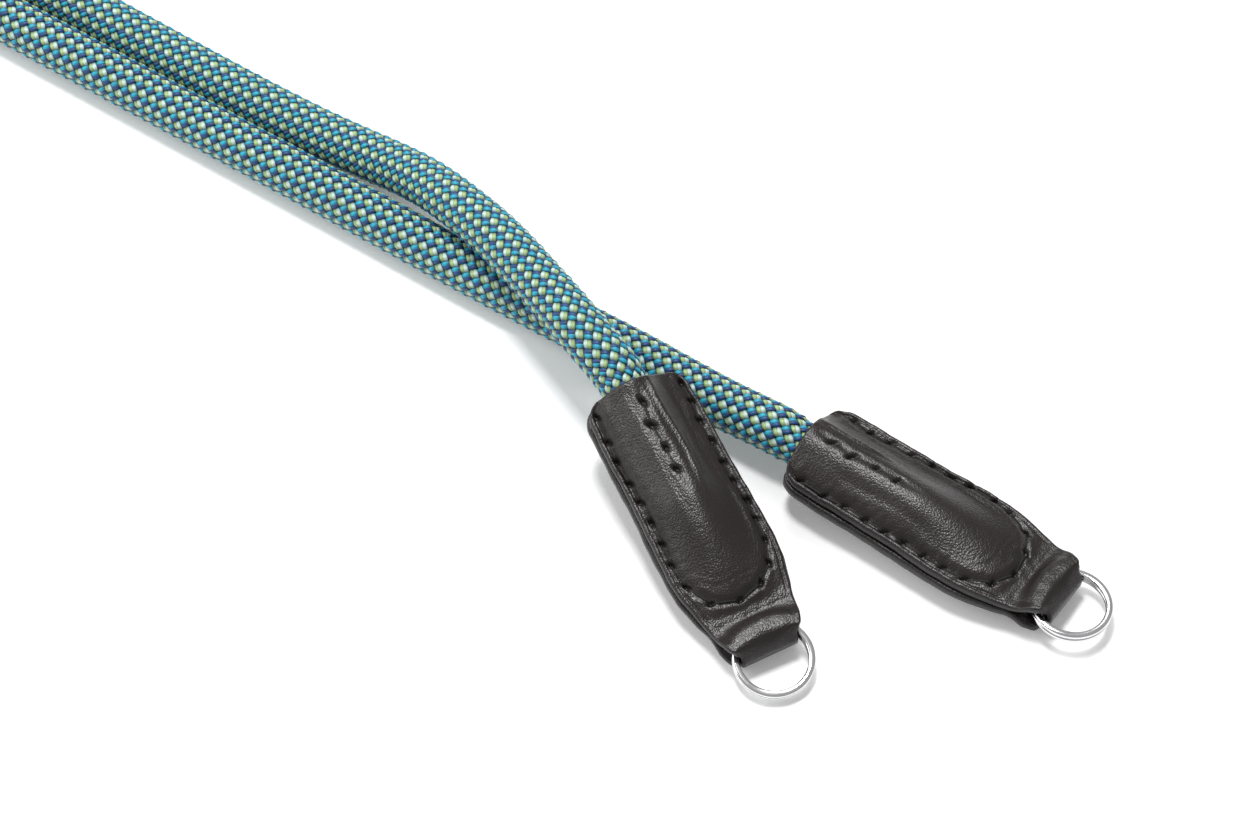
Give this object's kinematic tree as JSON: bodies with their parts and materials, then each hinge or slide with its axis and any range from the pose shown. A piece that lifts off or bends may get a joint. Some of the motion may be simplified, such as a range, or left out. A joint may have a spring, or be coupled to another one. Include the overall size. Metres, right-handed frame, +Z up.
{
  "type": "rope camera strap",
  "caption": "Braided rope camera strap lying doubled, with a stitched leather tab and a split ring at each end.",
  "frame": {"origin": "on the surface the strap lies on, under the middle of the box around the two leather tabs and split rings", "axes": "+X along the doubled rope from its loop towards the tabs, +Y towards the run that ends in the tab lying across the other, +Z up from the surface"},
  "size_m": [0.4873, 0.0821, 0.0217],
  "materials": {
    "rope": "woven, matt",
    "leather": "finished, half gloss",
    "steel": "bright nickel plate"
  },
  "bodies": {
    "strap": {"rope": "rope", "leather_tab_a": "leather", "leather_tab_b": "leather"},
    "ring_a": {"split_ring_a": "steel"},
    "ring_b": {"split_ring_b": "steel"}
  },
  "joints": [
    {"name": "ring_a_turn", "type": "hinge", "parent": "strap", "child": "ring_a", "pos_m": [0.00309, -0.0217, 0.00333], "axis": [0.1453, -0.1435, 0.9789], "continuous": true},
    {"name": "ring_b_turn", "type": "hinge", "parent": "strap", "child": "ring_b", "pos_m": [0.043, 0.01738, 0.00425], "axis": [0.0544, 0.0858, 0.9948], "continuous": true}
  ]
}
